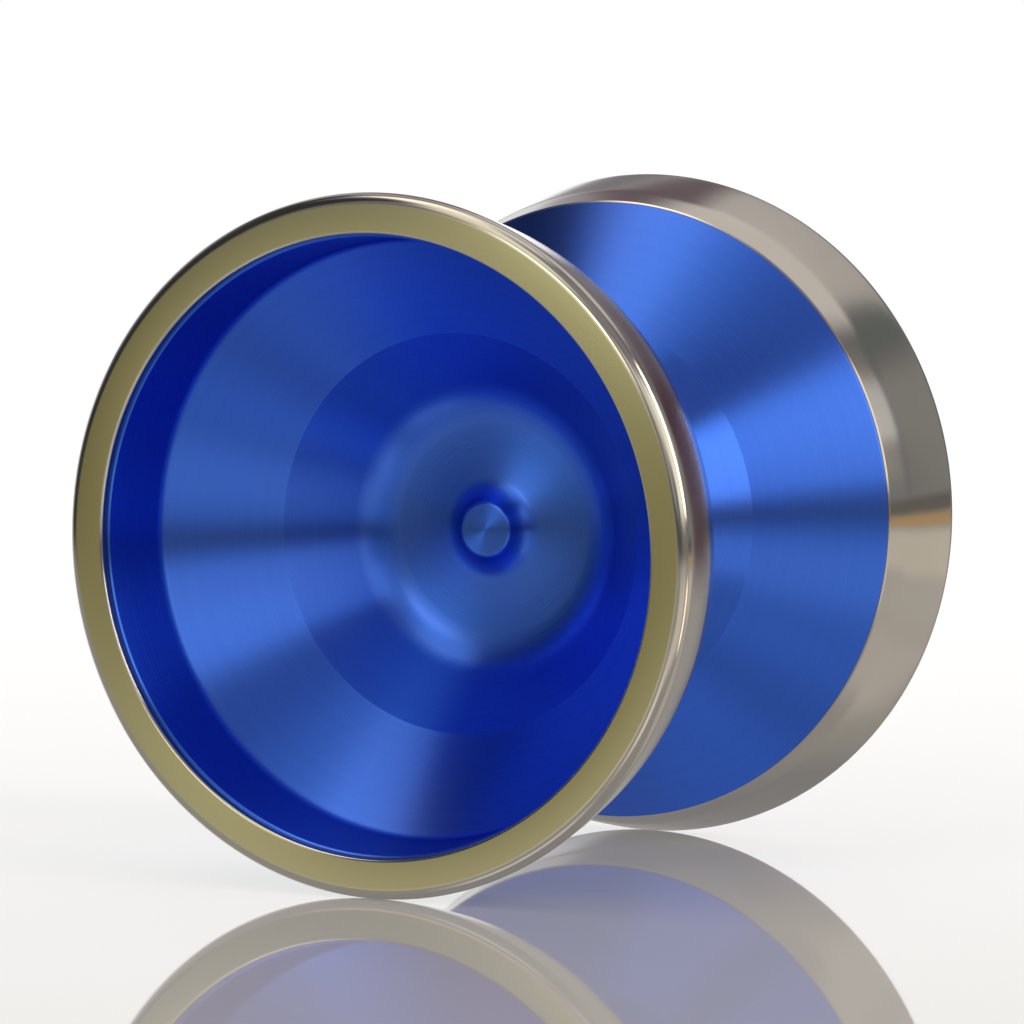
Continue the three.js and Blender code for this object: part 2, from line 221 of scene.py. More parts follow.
def rounded_corner(before, corner, after, fillet):
    """The points of the arc that rounds one corner."""
    towards_before = (before - corner).normalized()
    towards_after = (after - corner).normalized()
    half_angle = towards_before.angle(towards_after) / 2
    bisector = (towards_before + towards_after).normalized()
    centre = corner + bisector * (fillet / math.sin(half_angle))
    reach = fillet / math.tan(half_angle)
    first = corner + towards_before * reach - centre
    last = corner + towards_after * reach - centre
    turn = math.atan2(first.x * last.y - first.y * last.x, first.dot(last))
    steps = max(2, math.ceil(abs(turn) / FILLET_STEP))
    return [centre + Matrix.Rotation(turn * step / steps, 2) @ first for step in range(steps + 1)]


def outline(corners):
    """A closed section's points, with its fillets worked out."""
    points = []
    for index, (corner, fillet) in enumerate(corners):
        if fillet == 0.0:
            points.append(corner)
            continue
        before = corners[index - 1][0]
        after = corners[(index + 1) % len(corners)][0]
        points.extend(rounded_corner(before, corner, after, fillet))
    return points


# ---- Turned meshes ---------------------------------------------------------------------

def finished_mesh(name, work):
    """A mesh holding what was built in a bmesh, which is then let go."""
    mesh = bpy.data.meshes.new(name)
    work.to_mesh(mesh)
    work.free()
    return mesh


def link(name, mesh, material):
    """A new object with smooth faces and sharp corners."""
    mesh.materials.append(material)
    mesh.shade_smooth()
    mesh.set_sharp_from_angle(angle=SHARP_ANGLE)
    piece = bpy.data.objects.new(name, mesh)
    bpy.context.scene.collection.objects.link(piece)
    return piece


def section_ring(work, point, side, angles):
    """One section point carried round the X axis: a single vertex if it lies on the axis."""
    if point.x < ON_AXIS:
        return [work.verts.new((side * point.y * MM, 0, 0))]
    ring = []
    for angle in angles:
        across = side * point.x * math.cos(angle)
        up = point.x * math.sin(angle)
        ring.append(work.verts.new((side * point.y * MM, across * MM, up * MM)))
    return ring


def bridge(work, low, high, whole_turn):
    """Faces between two neighbouring rings of vertices."""
    count = max(len(low), len(high))
    for step in range(count if whole_turn else count - 1):
        after = (step + 1) % count
        if len(low) == 1:
            work.faces.new((low[0], high[step], high[after]))
        elif len(high) == 1:
            work.faces.new((low[step], high[0], low[after]))
        else:
            work.faces.new((low[step], high[step], high[after], low[after]))


def turned(name, corners, material, side=1, segments=RIM_SEGMENTS, start=0.0, sweep=TURN):
    """A section turned about X.

    side is -1 for the left half, which is the right one turned round.
    """
    points = outline(corners)
    whole_turn = sweep == TURN
    steps = segments if whole_turn else segments + 1
    angles = [start + sweep * step / segments for step in range(steps)]
    work = bmesh.new()
    rings = [section_ring(work, point, side, angles) for point in points]
    pairs = list(zip(rings, rings[1:]))
    if points[0].x > ON_AXIS:
        pairs.append((rings[-1], rings[0]))
    for low, high in pairs:
        bridge(work, low, high, whole_turn)
    if not whole_turn:
        work.faces.new([ring[0] for ring in rings])
        work.faces.new([ring[-1] for ring in rings])
    bmesh.ops.recalc_face_normals(work, faces=work.faces)
    return link(name, finished_mesh(name, work), material)


# ---- Shader helpers --------------------------------------------------------------------

class Nodes:
    """A small wrapper that makes nodes and joins them."""

    def __init__(self, tree):
        self.tree = tree

    def make(self, kind, inputs=None, **settings):
        node = self.tree.nodes.new(kind)
        for key, value in settings.items():
            setattr(node, key, value)
        for key, value in (inputs or {}).items():
            self.feed(node.inputs[key], value)
        return node

    def feed(self, socket, value):
        if isinstance(value, bpy.types.NodeSocket):
            self.tree.links.new(value, socket)
        else:
            socket.default_value = value

    def object_position(self):
        return self.make("ShaderNodeTexCoord").outputs["Object"]

    def math(self, operation, *values):
        return self.make("ShaderNodeMath", dict(enumerate(values)), operation=operation).outputs[0]

    def dot(self, vector, constant):
        node = self.make("ShaderNodeVectorMath", {0: vector, 1: constant}, operation="DOT_PRODUCT")
        return node.outputs["Value"]

    def smooth(self, value, low, high, to_low=0.0, to_high=1.0):
        inputs = {"Value": value, "From Min": low, "From Max": high}
        inputs.update({"To Min": to_low, "To Max": to_high})
        return self.make("ShaderNodeMapRange", inputs, interpolation_type="SMOOTHSTEP").outputs[0]

    def scale(self, value, to_low, to_high):
        inputs = {"Value": value, "To Min": to_low, "To Max": to_high}
        return self.make("ShaderNodeMapRange", inputs).outputs[0]

    def mix(self, factor, first, second):
        node = self.make("ShaderNodeMix", {"Factor": factor}, data_type="RGBA")
        self.feed(node.inputs[MIX_FIRST], first)
        self.feed(node.inputs[MIX_SECOND], second)
        return node.outputs[MIX_RESULT]

    def noise_1d(self, value, scale, detail=2.0, roughness=0.5):
        inputs = {"W": value, "Scale": scale, "Detail": detail, "Roughness": roughness}
        return self.make("ShaderNodeTexNoise", inputs, noise_dimensions="1D").outputs["Fac"]

    def noise_3d(self, vector, scale, detail=2.0, roughness=0.5):
        inputs = {"Vector": vector, "Scale": scale, "Detail": detail, "Roughness": roughness}
        return self.make("ShaderNodeTexNoise", inputs).outputs["Fac"]

    def bump(self, shader, height, strength, distance_mm):
        inputs = {"Height": height, "Strength": strength, "Distance": distance_mm * MM}
        self.feed(shader.inputs["Normal"], self.make("ShaderNodeBump", inputs).outputs[0])


def new_material(name):
    material = bpy.data.materials.new(name)
    material.use_nodes = True
    material.node_tree.nodes.clear()
    nodes = Nodes(material.node_tree)
    shader = nodes.make("ShaderNodeBsdfPrincipled")
    output = nodes.make("ShaderNodeOutputMaterial")
    material.node_tree.links.new(shader.outputs[0], output.inputs["Surface"])
    return material, nodes, shader


def turning_place(nodes):
    """A value that grows along the section, so that a pattern in it runs in circles.

    It is in millimetres. The position that it comes from is handed back too.
    """
    position = nodes.object_position()
    parts = nodes.make("ShaderNodeSeparateXYZ", {0: position}).outputs
    across = nodes.make("ShaderNodeCombineXYZ", {"Y": parts["Y"], "Z": parts["Z"]}).outputs[0]
    radius = nodes.make("ShaderNodeVectorMath", {0: across}, operation="LENGTH").outputs["Value"]
    axial = nodes.math("ABSOLUTE", parts["X"])
    along = nodes.math("MULTIPLY_ADD", axial, AXIAL_SHARE, radius)
    return nodes.math("MULTIPLY", along, 1 / MM), position


def circular_brushing(nodes, shader, amount):
    """Stretches reflections across the turning marks, as concentric grooves do."""
    tangent = nodes.make("ShaderNodeTangent", direction_type="RADIAL", axis="X").outputs[0]
    nodes.feed(shader.inputs["Tangent"], tangent)
    shader.inputs["Anisotropic"].default_value = amount
    shader.inputs["Anisotropic Rotation"].default_value = BRUSHING_ROTATION


# ---- Materials -------------------------------------------------------------------------

def anodised_blue():
    """Fine-turned aluminium under a clear blue dye: grooves, faint bands and slight blotches."""
    material, nodes, shader = new_material("anodised_blue")
    place, position = turning_place(nodes)
    fine = nodes.noise_1d(place, scale=13.0, detail=3.0, roughness=0.6)
    bands = nodes.noise_1d(place, scale=1.1)
    blotch = nodes.noise_3d(position, scale=90.0)
    blotch_part = nodes.math("MULTIPLY", blotch, 1 - BAND_SHARE)
    tone = nodes.math("MULTIPLY_ADD", bands, BAND_SHARE, blotch_part)
    colour = nodes.mix(tone, (0.030, 0.140, 0.77, 1), (0.036, 0.158, 0.84, 1))
    nodes.feed(shader.inputs["Base Color"], colour)
    nodes.feed(shader.inputs["Roughness"], nodes.scale(fine, to_low=0.26, to_high=0.3))
    shader.inputs["Metallic"].default_value = 1.0
    shader.inputs["Specular Tint"].default_value = (0.7, 0.55, 0.75, 1)
    shader.inputs["Coat Weight"].default_value = 0.55
    shader.inputs["Coat Roughness"].default_value = 0.25
    circular_brushing(nodes, shader, amount=0.94)
    nodes.bump(shader, fine, strength=0.05, distance_mm=0.003)
    return material


def polished_steel():
    """Polished stainless steel with faint circular lines and hazes. The flat face is duller, and
    its olive tint is a painted reflection of the warm table it faces.
    """
    material, nodes, shader = new_material("polished_steel")
    place, position = turning_place(nodes)
    lines = nodes.noise_1d(place, scale=14.0, detail=3.0, roughness=0.6)
    haze = nodes.noise_3d(position, scale=160.0, detail=3.0)
    colour = nodes.mix(haze, (0.50, 0.485, 0.455, 1), (0.57, 0.555, 0.525, 1))
    axial = nodes.math("ABSOLUTE", nodes.make("ShaderNodeSeparateXYZ", {0: position}).outputs["X"])
    blend_start = (HALF_WIDTH - FACE_BLEND_START) * MM
    on_face = nodes.smooth(axial, blend_start, (HALF_WIDTH - FACE_BLEND_END) * MM)
    # The flat face's base colour is tinted olive: a painted reflection of the warm table that the
    # face mirrors, over the steel's own colour.
    nodes.feed(shader.inputs["Base Color"], nodes.mix(on_face, colour, (0.53, 0.54, 0.365, 1)))
    polish = nodes.scale(lines, to_low=0.09, to_high=0.14)
    turned_face = nodes.scale(lines, to_low=0.2, to_high=0.25)
    roughness = nodes.make("ShaderNodeMix", {"Factor": on_face, "A": polish, "B": turned_face})
    nodes.feed(shader.inputs["Roughness"], roughness.outputs[0])
    shader.inputs["Metallic"].default_value = 1.0
    circular_brushing(nodes, shader, amount=0.85)
    nodes.bump(shader, lines, strength=0.05, distance_mm=0.002)
    return material


def bearing_steel():
    """Ground and polished bearing steel."""
    material, nodes, shader = new_material("bearing_steel")
    place, position = turning_place(nodes)
    lines = nodes.noise_1d(place, scale=30.0)
    haze = nodes.noise_3d(position, scale=400.0)
    colour = nodes.mix(haze, (0.56, 0.56, 0.57, 1), (0.66, 0.66, 0.67, 1))
    nodes.feed(shader.inputs["Base Color"], colour)
    nodes.feed(shader.inputs["Roughness"], nodes.scale(lines, to_low=0.14, to_high=0.26))
    shader.inputs["Metallic"].default_value = 1.0
    circular_brushing(nodes, shader, amount=0.5)
    return material


def axle_steel():
    """Dark plated thread with a slightly grainy face."""
    material, nodes, shader = new_material("axle_steel")
    position = nodes.object_position()
    grain = nodes.noise_3d(position, scale=2500.0, detail=3.0)
    colour = nodes.mix(grain, (0.16, 0.165, 0.175, 1), (0.26, 0.265, 0.275, 1))
    nodes.feed(shader.inputs["Base Color"], colour)
    nodes.feed(shader.inputs["Roughness"], nodes.scale(grain, to_low=0.28, to_high=0.46))
    shader.inputs["Metallic"].default_value = 1.0
    nodes.bump(shader, grain, strength=0.2, distance_mm=0.01)
    return material


def cage_steel():
    """Pressed sheet steel, duller than the races."""
    material, nodes, shader = new_material("cage_steel")
    position = nodes.object_position()
    grain = nodes.noise_3d(position, scale=1800.0, detail=3.0)
    colour = nodes.mix(grain, (0.40, 0.38, 0.35, 1), (0.52, 0.50, 0.46, 1))
    nodes.feed(shader.inputs["Base Color"], colour)
    nodes.feed(shader.inputs["Roughness"], nodes.scale(grain, to_low=0.32, to_high=0.5))
    shader.inputs["Metallic"].default_value = 1.0
    return material


def silicone():
    """Milky silicone with a fine moulded grain and a little dust."""
    material, nodes, shader = new_material("silicone")
    position = nodes.object_position()
    grain = nodes.noise_3d(position, scale=3500.0, detail=3.0)
    dust = nodes.noise_3d(position, scale=500.0, detail=4.0, roughness=0.7)
    dusty = nodes.smooth(dust, low=0.45, high=0.75)
    colour = nodes.mix(dusty, (0.80, 0.79, 0.75, 1), (0.66, 0.65, 0.62, 1))
    nodes.feed(shader.inputs["Base Color"], colour)
    nodes.feed(shader.inputs["Roughness"], nodes.scale(grain, to_low=0.5, to_high=0.72))
    shader.inputs["Subsurface Weight"].default_value = 0.15
    shader.inputs["Subsurface Scale"].default_value = 0.5 * MM
    nodes.bump(shader, grain, strength=0.3, distance_mm=0.01)
    return material


MATERIALS = {
    "anodised_blue": anodised_blue(),
    "polished_steel": polished_steel(),
    "bearing_steel": bearing_steel(),
    "axle_steel": axle_steel(),
    "cage_steel": cage_steel(),
    "silicone": silicone(),
}


def place_piece(piece, body, slot, *nodes):
    """Puts a piece on its body and lets it stand for its CAD node."""
    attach(piece, body)
    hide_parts(*nodes)
    return piece


# ---- Shell -----------------------------------------------------------------------------

def shell_gap_side():
    """Threaded hole, bearing seat, bearing pocket, pad recess and the V of the string gap."""
    shoulder = BEARING_HALF_WIDTH + SEAT_SHOULDER_CLEARANCE
    recess_floor = GAP_FACE_AXIAL + PAD_RECESS_DEPTH
    return [
        at(0, THREAD_HOLE_END),
        at(THREAD_HOLE_RADIUS, THREAD_HOLE_END),
        at(THREAD_HOLE_RADIUS, SEAT_END_AXIAL),
        at(SEAT_RADIUS - RACE_CHAMFER, SEAT_END_AXIAL),
        at(SEAT_RADIUS, SEAT_END_AXIAL + RACE_CHAMFER),
        at(SEAT_RADIUS, shoulder),
        at(SEAT_SHOULDER_RADIUS, shoulder),
        at(SEAT_SHOULDER_RADIUS, POCKET_DEPTH_AXIAL),
        at(POCKET_RADIUS, POCKET_DEPTH_AXIAL, EDGE_BREAK),
        at(POCKET_RADIUS, GAP_FACE_AXIAL, EDGE_BREAK),
        at(PAD_INNER_RADIUS - FACE_GAP, GAP_FACE_AXIAL, EDGE_BREAK),
        at(PAD_INNER_RADIUS - FACE_GAP, recess_floor),
        at(PAD_OUTER_RADIUS + FACE_GAP, recess_floor),
        at(PAD_OUTER_RADIUS + FACE_GAP, GAP_FACE_AXIAL, EDGE_BREAK),
        at(CATCH_RADIUS, GAP_FACE_AXIAL, CATCH_FILLET),
        at(GAP_STEP_RADIUS, GAP_STEP_AXIAL),
        at(SEAM_RADIUS, SEAM_AXIAL, EDGE_BREAK),
        at(SEAM_RADIUS, SEAM_AXIAL + SEAM_LAND),
    ]


def shell_ring_seat():
    """The shoulder, the land under the ring, and the wall's end under the ring's lip."""
    wall_end = HALF_WIDTH - RING_LIP_THICKNESS - FACE_GAP
    mouth_radius = CUP_WALL_RADIUS + CUP_WALL_DRAFT
    return [
        at(RING_SEAT_RADIUS - FACE_GAP, SEAM_AXIAL + SEAM_LAND),
        at(RING_SEAT_RADIUS - FACE_GAP, wall_end),
        at(mouth_radius + CUP_MOUTH_CHAMFER, wall_end),
        at(mouth_radius, wall_end - CUP_MOUTH_CHAMFER),
    ]


def shell_cup_side():
    """Wall, cone, steeper inner cone, dished floor and nub."""
    return [
        at(CUP_WALL_RADIUS, CUP_CORNER_AXIAL, CUP_CORNER_FILLET),
        at(CUP_STEP_RADIUS, CUP_STEP_AXIAL),
        at(CUP_FLOOR_RADIUS, CUP_FLOOR_AXIAL, CUP_FLOOR_FILLET),
        at(CUP_DISH_RADIUS, CUP_DISH_AXIAL, CUP_DISH_FILLET),
        at(NUB_BASE_RADIUS, NUB_BASE_AXIAL, NUB_FILLET),
        at(NUB_TOP_RADIUS, NUB_TOP_AXIAL, NUB_EDGE),
        at(0, NUB_TOP_AXIAL),
    ]


def shell(side, prefix):
    """One half's aluminium body, turned in one piece."""
    corners = shell_gap_side() + shell_ring_seat() + shell_cup_side()
    piece = turned(f"{prefix}_shell_body", corners, MATERIALS["anodised_blue"], side)
    place_piece(piece, f"{prefix}_half", "anodised_blue", f"{prefix}_shell")


# ---- Weight ring -----------------------------------------------------------------------

def weight_ring(side, prefix):
    """The steel ring on a shell's rim. Its lip covers the end of the cup's wall."""
    lip_back = HALF_WIDTH - RING_LIP_THICKNESS
    tangent_radius = RIM_RADIUS - RIM_CORNER * (1 - math.cos(OUTER_BAND_SLOPE))
    tangent_axial = HALF_WIDTH - RIM_CORNER * (1 + math.sin(OUTER_BAND_SLOPE))
    corner_radius = tangent_radius + (HALF_WIDTH - tangent_axial) * math.tan(OUTER_BAND_SLOPE)
    middle_axial = (tangent_axial + FRONT_BAND_AXIAL) / 2
    half_band = tangent_axial - middle_axial
    middle_radius = tangent_radius - half_band * math.tan(OUTER_BAND_SLOPE)
    front_band_radius = middle_radius - half_band * math.tan(INNER_BAND_SLOPE)
    corners = [
        at(RING_SEAT_RADIUS, RING_FRONT),
        at(SEAM_RADIUS, RING_FRONT),
        at(SEAM_RADIUS + EDGE_BREAK, RING_FRONT + EDGE_BREAK),
        at(front_band_radius, FRONT_BAND_AXIAL, FRONT_BAND_FILLET),
        at(middle_radius, middle_axial, BAND_FILLET),
        at(corner_radius, HALF_WIDTH, RIM_CORNER),
        at(RING_LIP_RADIUS, HALF_WIDTH, RING_LIP_FILLET),
        at(RING_LIP_RADIUS, lip_back),
        at(RING_SEAT_RADIUS, lip_back),
    ]
    piece = turned(f"{prefix}_rim_ring", corners, MATERIALS["polished_steel"], side)
    place_piece(piece, f"{prefix}_half", "polished_steel", f"{prefix}_weight_ring")


# ---- Response pad ----------------------------------------------------------------------

def response_pad(side, prefix):
    front = GAP_FACE_AXIAL + PAD_SETBACK
    back = front + PAD_THICKNESS
    corners = [
        at(PAD_INNER_RADIUS, front, PAD_EDGE),
        at(PAD_OUTER_RADIUS, front, PAD_EDGE),
        at(PAD_OUTER_RADIUS, back),
        at(PAD_INNER_RADIUS, back),
    ]
    piece = turned(f"{prefix}_pad", corners, MATERIALS["silicone"], side, BEARING_SEGMENTS)
    place_piece(piece, f"{prefix}_half", "silicone", f"{prefix}_response_pad")


# ---- Bearing ---------------------------------------------------------------------------

def groove_arc(land_radius, towards_axis):
    """The ball groove in a race, from its low axial end to its high one.

    towards_axis is 1 in the inner race, whose groove faces outwards, and -1 in the outer race.
    """
    half_turn = math.acos(towards_axis * (PITCH_RADIUS - land_radius) / GROOVE_RADIUS)
    corners = []
    for step in range(GROOVE_STEPS + 1):
        turn = half_turn * (2 * step / GROOVE_STEPS - 1)
        radius = PITCH_RADIUS - towards_axis * GROOVE_RADIUS * math.cos(turn)
        corners.append(at(radius, GROOVE_RADIUS * math.sin(turn)))
    return corners


def inner_race():
    face = BEARING_HALF_WIDTH
    corners = [
        at(BEARING_BORE_RADIUS, -face, RACE_CHAMFER),
        at(INNER_LAND_RADIUS, -face, RACE_CHAMFER),
        *groove_arc(INNER_LAND_RADIUS, 1),
        at(INNER_LAND_RADIUS, face, RACE_CHAMFER),
        at(BEARING_BORE_RADIUS, face, RACE_CHAMFER),
    ]
    piece = turned("inner_race", corners, MATERIALS["bearing_steel"], segments=BEARING_SEGMENTS)
    place_piece(piece, "inner_race", "bearing_steel", "bearing_inner_race")


def shield_bore():
    """The outer race's bore beside the groove: shield seat, then the snap ring's groove."""
    snap_groove_end = SNAP_GROOVE_AXIAL + SNAP_GROOVE_WIDTH
    return [
        at(SHIELD_BORE_RADIUS, BEARING_HALF_WIDTH, RACE_EDGE),
        at(SHIELD_BORE_RADIUS, snap_groove_end),
        at(SNAP_GROOVE_RADIUS, snap_groove_end),
        at(SNAP_GROOVE_RADIUS, SNAP_GROOVE_AXIAL),
        at(SHIELD_BORE_RADIUS, SNAP_GROOVE_AXIAL),
        at(SHIELD_BORE_RADIUS, SHIELD_SEAT_AXIAL),
        at(OUTER_LAND_RADIUS, SHIELD_SEAT_AXIAL),
    ]


def mirrored(corners):
    return [at(point.x, -point.y, fillet) for point, fillet in reversed(corners)]


def outer_race():
    corners = [
        at(BEARING_OUTER_RADIUS, -BEARING_HALF_WIDTH, RACE_CHAMFER),
        at(BEARING_OUTER_RADIUS, BEARING_HALF_WIDTH, RACE_CHAMFER),
        *shield_bore(),
        *reversed(groove_arc(OUTER_LAND_RADIUS, -1)),
        *mirrored(shield_bore()),
    ]
    piece = turned("outer_race", corners, MATERIALS["bearing_steel"], segments=BEARING_SEGMENTS)
    place_piece(piece, "outer_race", "bearing_steel", "bearing_outer_race")


def shield(side, word):
    inner = SHIELD_SEAT_AXIAL + FACE_GAP / 2
    outer = inner + SHIELD_THICKNESS - FACE_GAP / 2
    corners = [
        at(SHIELD_INNER_RADIUS, inner, RACE_EDGE),
        at(SHIELD_OUTER_RADIUS, inner, RACE_EDGE),
        at(SHIELD_OUTER_RADIUS, outer, RACE_EDGE),
        at(SHIELD_INNER_RADIUS, outer, RACE_EDGE),
    ]
    piece = turned(f"shield_{word}", corners, MATERIALS["bearing_steel"], side, BEARING_SEGMENTS)
    place_piece(piece, "outer_race", "bearing_steel", f"bearing_shield_{word}")


def snap_ring(side, word):
    """A split wire ring, open at the bottom."""
    inner = SNAP_GROOVE_AXIAL + (SNAP_GROOVE_WIDTH - SNAP_THICKNESS) / 2
    outer = inner + SNAP_THICKNESS
    corners = [
        at(SNAP_INNER_RADIUS, inner, RACE_EDGE),
        at(SNAP_OUTER_RADIUS, inner, RACE_EDGE),
        at(SNAP_OUTER_RADIUS, outer, RACE_EDGE),
        at(SNAP_INNER_RADIUS, outer, RACE_EDGE),
    ]
    start = (SNAP_OPENING - math.pi) / 2
    piece = turned(f"snap_ring_{word}", corners, MATERIALS["bearing_steel"], side, BEARING_SEGMENTS,
                   start, TURN - SNAP_OPENING)
    place_piece(piece, "outer_race", "bearing_steel", f"bearing_snap_ring_{word}")


def ball(number):
    """One ball, where its CAD node is."""
    node = f"bearing_ball_{number:02d}"
    low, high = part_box(node)
    work = bmesh.new()
    bmesh.ops.create_icosphere(work, subdivisions=BALL_SUBDIVISIONS, radius=(high.z - low.z) / 2)
    bmesh.ops.translate(work, verts=work.verts, vec=(low + high) / 2)
    name = f"ball_{number:02d}"
    piece = link(name, finished_mesh(name, work), MATERIALS["bearing_steel"])
    place_piece(piece, name, "bearing_steel", node)


def ball_cage():
    """The cage keeps its CAD mesh and gets its own steel."""
    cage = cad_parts["bearing_cage"]
    cage.data.materials.clear()
    cage.data.materials.append(MATERIALS["cage_steel"])


# ---- Axle ------------------------------------------------------------------------------

def thread_radius(axial, angle):
    """The M4 thread's surface: a right-hand V groove with flat crests, chamfered at both ends."""
    along = (axial / THREAD_PITCH - angle / TURN) % 1.0
    depth = THREAD_DEPTH * min(1.0, max(0.0, THREAD_SLOPE * abs(along - 0.5) - THREAD_CREST))
    chamfer = max(0.0, abs(axial) - (AXLE_HALF_LENGTH - AXLE_CHAMFER))
    return min(AXLE_RADIUS - depth, AXLE_RADIUS - chamfer)


def hexagon_radius(angle):
    """The hex socket's wall, at an angle about the axis."""
    sector = TURN / 6
    return HEX_SOCKET_RADIUS * math.cos(sector / 2) / math.cos(angle % sector - sector / 2)


def axle():
    angles = [TURN * step / AXLE_SEGMENTS for step in range(AXLE_SEGMENTS)]
    rows = math.ceil(2 * AXLE_HALF_LENGTH / THREAD_PITCH * ROWS_PER_THREAD)
    work = bmesh.new()

    def ring(axial, radius_at):
        vertices = []
        for angle in angles:
            radius = radius_at(angle)
            across, up = radius * math.cos(angle), radius * math.sin(angle)
            vertices.append(work.verts.new((axial * MM, across * MM, up * MM)))
        return vertices

    rings = [[work.verts.new(((HEX_SOCKET_DEPTH - AXLE_HALF_LENGTH) * MM, 0, 0))]]
    rings.append(ring(HEX_SOCKET_DEPTH - AXLE_HALF_LENGTH, hexagon_radius))
    rings.append(ring(-AXLE_HALF_LENGTH, hexagon_radius))
    for row in range(rows + 1):
        axial = AXLE_HALF_LENGTH * (2 * row / rows - 1)
        rings.append(ring(axial, lambda angle: thread_radius(axial, angle)))
    rings.append([work.verts.new((AXLE_HALF_LENGTH * MM, 0, 0))])
    for low, high in zip(rings, rings[1:]):
        bridge(work, low, high, True)
    bmesh.ops.recalc_face_normals(work, faces=work.faces)
    piece = link("threaded_axle", finished_mesh("threaded_axle", work), MATERIALS["axle_steel"])
    place_piece(piece, "left_half", "axle_steel", "axle")


# ---- The yo-yo -------------------------------------------------------------------------

for side, word in ((-1, "left"), (1, "right")):
    shell(side, word)
    weight_ring(side, word)
    response_pad(side, word)
    shield(side, word)
    snap_ring(side, word)

inner_race()
outer_race()
for number in range(1, BALL_COUNT + 1):
    ball(number)
ball_cage()
axle()


# ---- Studio ----------------------------------------------------------------------------

def direction(azimuth, elevation):
    """The unit vector at an azimuth from -Y towards +X, and an elevation, in degrees."""
    a, e = math.radians(azimuth), math.radians(elevation)
    return Vector((math.sin(a) * math.cos(e), -math.cos(a) * math.cos(e), math.sin(e)))


# Soft panels round the object: a name to tell them apart, then azimuth, elevation, half width,
# half height and edge softness in degrees, and the light. A later one covers an earlier one.
PANELS = [
    ("ceiling", 0, 90, 13, 13, 5, (1.1, 1.05, 0.95)),
    ("back_wall", 136, 44, 20, 17, 5, (0.6, 0.59, 0.6)),
    ("dark_high", 163, 44, 10, 12, 4, (0.05, 0.05, 0.05)),
    ("right_above", 72, 57, 25, 13, 5, (0.9, 0.83, 0.77)),
    ("right_above_low", 86, 42, 22, 6, 4, (0.66, 0.61, 0.57)),
    ("maroon", 119, 38, 8, 11, 3, (0.2, 0.15, 0.17)),
    ("overhead", -146, 69, 13, 10, 4, (2.4, 2.05, 1.65)),
    ("high_left", -99, 54, 17, 17, 5, (1.4, 1.25, 1.0)),
    ("window_top", -103, 32, 10, 8, 4, (1.0, 1.0, 0.75)),
    ("window", -100, 16, 9, 6, 3, (3.8, 3.3, 2.7)),
    ("window_side", -108, 7, 8, 7, 3, (1.2, 1.1, 0.8)),
    ("dim_above", -48, 56, 20, 16, 5, (0.36, 0.32, 0.32)),
    ("front_wall", -62, 21, 14, 9, 5, (1.05, 0.97, 0.82)),
    ("dim_front", -76, 6, 8, 8, 4, (0.5, 0.48, 0.46)),
    ("near_softbox", -29, 20, 17, 16, 4, (1.45, 1.35, 1.12)),
    ("softbox", 3, 25, 8, 18, 3, (9.0, 6.8, 5.2)),
    ("softbox_on_table", 1, -18, 5.5, 8, 3, (3.0, 2.4, 1.9)),
    ("dark_wall", -150, 25, 22, 26, 4, (0.05, 0.05, 0.05)),
    ("table_glow", -96, -53, 13, 7, 6, (1.0, 0.95, 0.9)),
    ("table_glow_b", -68, -28, 9, 10, 6, (1.2, 1.1, 0.95)),
    ("table_near", -42, -18, 24, 10, 6, (0.88, 0.81, 0.68)),
    ("table_right", 40, -20, 20, 10, 6, (0.65, 0.6, 0.54)),
    ("table_corner", 38, -38, 22, 9, 5, (0.68, 0.62, 0.56)),
    ("table_back", 112, -38, 20, 20, 8, (0.32, 0.31, 0.31)),
    ("table_back_left", 145, -27, 12, 8, 4, (0.9, 0.9, 0.88)),
    ("side_wall", 22, 24, 8, 9, 4, (0.7, 0.7, 0.7)),
    ("side_low", 22, 6, 8, 8, 4, (0.28, 0.29, 0.28)),
    ("grey_wall", 48, 12, 10, 16, 5, (0.33, 0.33, 0.3)),
    ("green_wall", 44, 36, 14, 6, 4, (0.17, 0.19, 0.18)),
    ("table_edge", 36, -12, 20, 5, 2, (0.8, 0.73, 0.62)),
    ("dark_strip", 30, -1.5, 24, 1.8, 1, (0.2, 0.18, 0.17)),
    ("brown_strip", 30, -5, 24, 1.2, 1, (0.66, 0.42, 0.2)),
    ("dark_gap", 93, 2.5, 10, 9, 3, (0.08, 0.03, 0.04)),
    ("backdrop", 148, -6, 24, 15, 4, (1.0, 1.02, 1.02)),
    ("backdrop_top", 144, 14, 17, 11, 4, (1.15, 1.17, 1.2)),
    ("backdrop_core", 136, -4, 5.5, 8, 3, (1.8, 1.85, 1.9)),
    ("behind", 118, 5, 7, 6, 2, (1.4, 1.4, 1.4)),
    ("horizon_left", -147, -2, 25, 4, 2, (0.06, 0.06, 0.06)),
    ("horizon", -75, -2, 25, 3, 2, (0.12, 0.12, 0.12)),
    ("horizon_near", -30, -2, 22, 2.5, 2, (0.3, 0.26, 0.2)),
    ("table_left", -112, -14, 14, 9, 4, (0.85, 0.75, 0.6)),
    ("wood", -116, -4, 12, 4, 2, (0.33, 0.27, 0.11)),
]
UPPER_ROOM = (0.25, 0.23, 0.25, 1)
LOWER_ROOM = (0.45, 0.42, 0.38, 1)
NADIR = (0.4, 0.38, 0.36, 1)
HORIZON_BAND = (0.3, 0.28, 0.27, 1)
BACKGROUND = (1.0, 1.0, 1.0, 1)

# Where the room's colours give way to one another, as sines of the elevation. The horizon band
# lies HORIZON_SINK below the level, and is whole and ends at these heights from its middle.
ROOM_BLEND = 0.03
NADIR_WHOLE, NADIR_END = -0.98, -0.72
HORIZON_SINK = 0.03
HORIZON_WHOLE, HORIZON_END = 0.02, 0.075
# A panel fades out over this cosine, so that it has no twin on the far side
PANEL_FADE = 0.1


